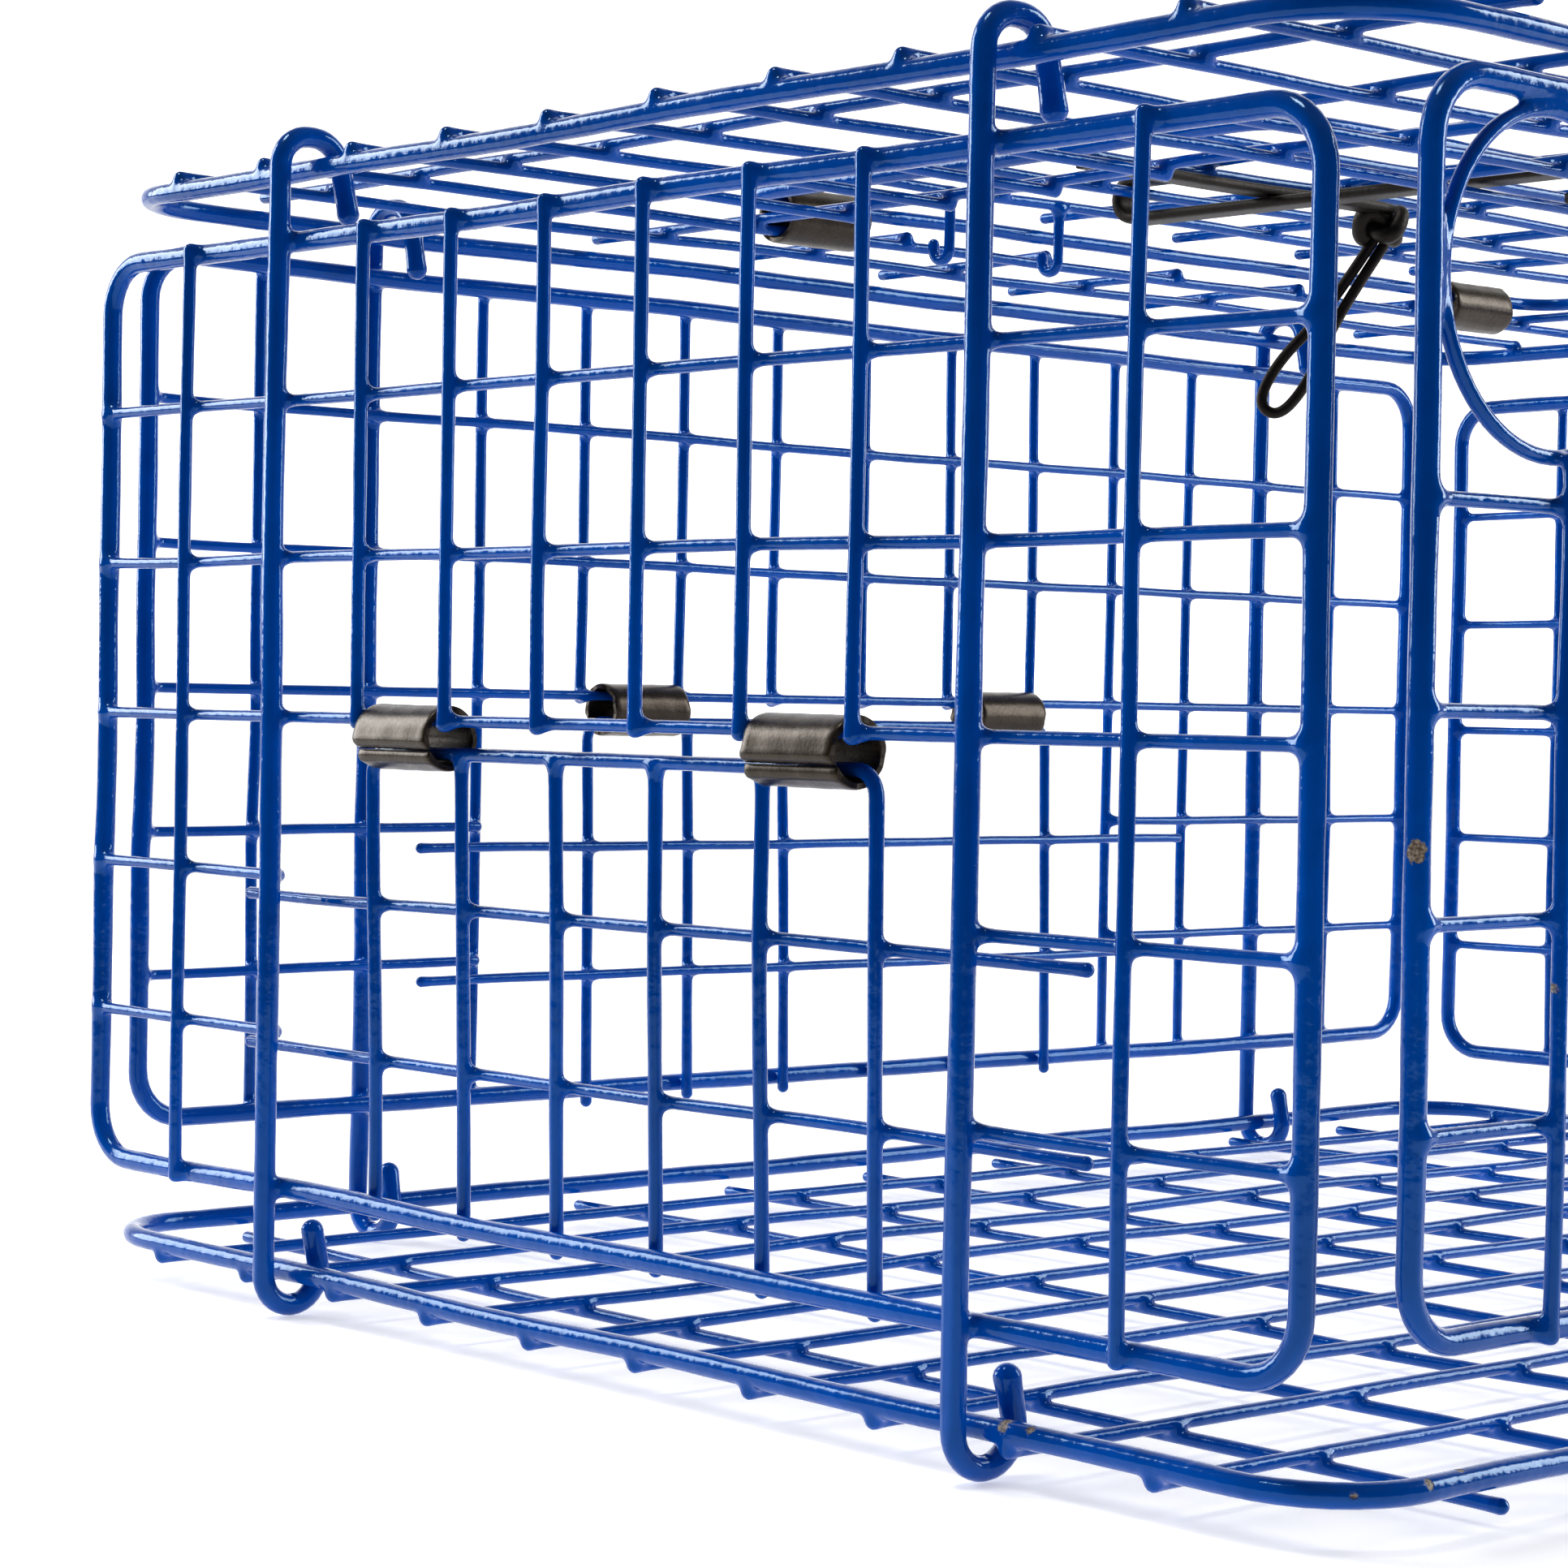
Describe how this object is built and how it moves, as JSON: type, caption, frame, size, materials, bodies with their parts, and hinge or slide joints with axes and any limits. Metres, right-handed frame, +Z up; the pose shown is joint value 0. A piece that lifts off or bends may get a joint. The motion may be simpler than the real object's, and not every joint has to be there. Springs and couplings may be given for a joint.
{
  "type": "folding crab trap",
  "caption": "Folding wire crab trap: mesh base and top, four hooked side panels with swinging one-way gates, hinged lid with rubber strap, escape rings.",
  "frame": {"origin": "on the floor, under the middle of the base, at the height of the lowest hook bends", "axes": "+Z up, X along the long sides with the front panel and its escape rings at -Y, the left panel at -X"},
  "size_m": [0.5682, 0.4362, 0.2959],
  "materials": {
    "coated_wire": "glossy blue vinyl dip coat over steel wire",
    "clip_rubber": "dark grey-brown split rubber tube, semi-gloss",
    "strap_rubber": "black rubber strap, satin"
  },
  "bodies": {
    "base": {"base_cross_wires": "coated_wire", "base_frame": "coated_wire", "base_long_wires": "coated_wire"},
    "left_side": {"left_crossbars": "coated_wire", "left_frame": "coated_wire", "left_hinge_clips": "clip_rubber", "left_hook_rods": "coated_wire", "left_uprights": "coated_wire"},
    "left_gate": {"left_gate_bars": "coated_wire", "left_gate_hoop": "coated_wire", "left_gate_tines": "coated_wire"},
    "right_side": {"right_crossbars": "coated_wire", "right_frame": "coated_wire", "right_hinge_clips": "clip_rubber", "right_hook_rods": "coated_wire", "right_uprights": "coated_wire"},
    "right_gate": {"right_gate_bars": "coated_wire", "right_gate_hoop": "coated_wire", "right_gate_tines": "coated_wire"},
    "front_side": {"front_crossbars": "coated_wire", "front_escape_rings": "coated_wire", "front_frame": "coated_wire", "front_hinge_clips": "clip_rubber", "front_hook_rods": "coated_wire", "front_uprights": "coated_wire"},
    "front_gate": {"front_gate_bars": "coated_wire", "front_gate_hoop": "coated_wire", "front_gate_tines": "coated_wire"},
    "back_side": {"back_crossbars": "coated_wire", "back_frame": "coated_wire", "back_hinge_clips": "clip_rubber", "back_hook_rods": "coated_wire", "back_uprights": "coated_wire"},
    "back_gate": {"back_gate_bars": "coated_wire", "back_gate_hoop": "coated_wire", "back_gate_tines": "coated_wire"},
    "top": {"top_cross_wires": "coated_wire", "top_frame": "coated_wire", "top_long_wires": "coated_wire", "lid_hinge_clips": "clip_rubber"},
    "lid": {"lid_bait_hooks": "coated_wire", "lid_cross_wires": "coated_wire", "lid_frame": "coated_wire", "lid_long_wires": "coated_wire", "lid_pull_loop": "strap_rubber", "lid_strap": "strap_rubber", "lid_strap_knot": "strap_rubber", "lid_strap_tail": "strap_rubber"}
  },
  "joints": [
    {"name": "fold", "type": "hinge", "parent": "base", "child": "left_side", "pos_m": [-0.2735, 0, 0.0106], "axis": [0, 1, 0], "range_deg": [0, 83], "deforming": ["lid_pull_loop"]},
    {"name": "right_side_fold", "type": "hinge", "parent": "base", "child": "right_side", "pos_m": [0.2735, 0, 0.0106], "axis": [0, 1, 0], "range_deg": [0, 83]},
    {"name": "top_level", "type": "hinge", "parent": "left_side", "child": "top", "pos_m": [-0.2735, 0, 0.2766], "axis": [0, 1, 0], "range_deg": [-83, 0]},
    {"name": "front_side_fold", "type": "hinge", "parent": "base", "child": "front_side", "pos_m": [0, -0.2075, 0.0106], "axis": [1, 0, 0], "range_deg": [0, 89.5], "deforming": ["front_hook_rods"]},
    {"name": "back_side_fold", "type": "hinge", "parent": "base", "child": "back_side", "pos_m": [0, 0.2075, 0.0106], "axis": [-1, 0, 0], "range_deg": [0, 89.5], "deforming": ["back_hook_rods"]},
    {"name": "lid_hinge", "type": "hinge", "parent": "top", "child": "lid", "pos_m": [0.0566, 0.13805, 0.2879], "axis": [1, 0, 0], "range_deg": [-100, 0], "deforming": ["lid_strap"]},
    {"name": "front_gate_swing", "type": "hinge", "parent": "front_side", "child": "front_gate", "pos_m": [0.01853, -0.2088, 0.144], "axis": [-1, 0, 0], "range_deg": [-75, 0]},
    {"name": "back_gate_swing", "type": "hinge", "parent": "back_side", "child": "back_gate", "pos_m": [-0.01853, 0.2088, 0.144], "axis": [1, 0, 0], "range_deg": [-75, 0]},
    {"name": "left_gate_swing", "type": "hinge", "parent": "left_side", "child": "left_gate", "pos_m": [-0.2748, 0, 0.1375], "axis": [0, 1, 0], "range_deg": [-75, 0]},
    {"name": "right_gate_swing", "type": "hinge", "parent": "right_side", "child": "right_gate", "pos_m": [0.2748, 0, 0.1375], "axis": [0, -1, 0], "range_deg": [-75, 0]}
  ],
  "couplings": [
    {"joint": "right_side_fold", "follows": "fold", "ratio": 1},
    {"joint": "top_level", "follows": "fold", "ratio": -1},
    {"joint": "front_side_fold", "follows": "fold", "ratio": 1.0783},
    {"joint": "back_side_fold", "follows": "fold", "ratio": 1.0783}
  ]
}
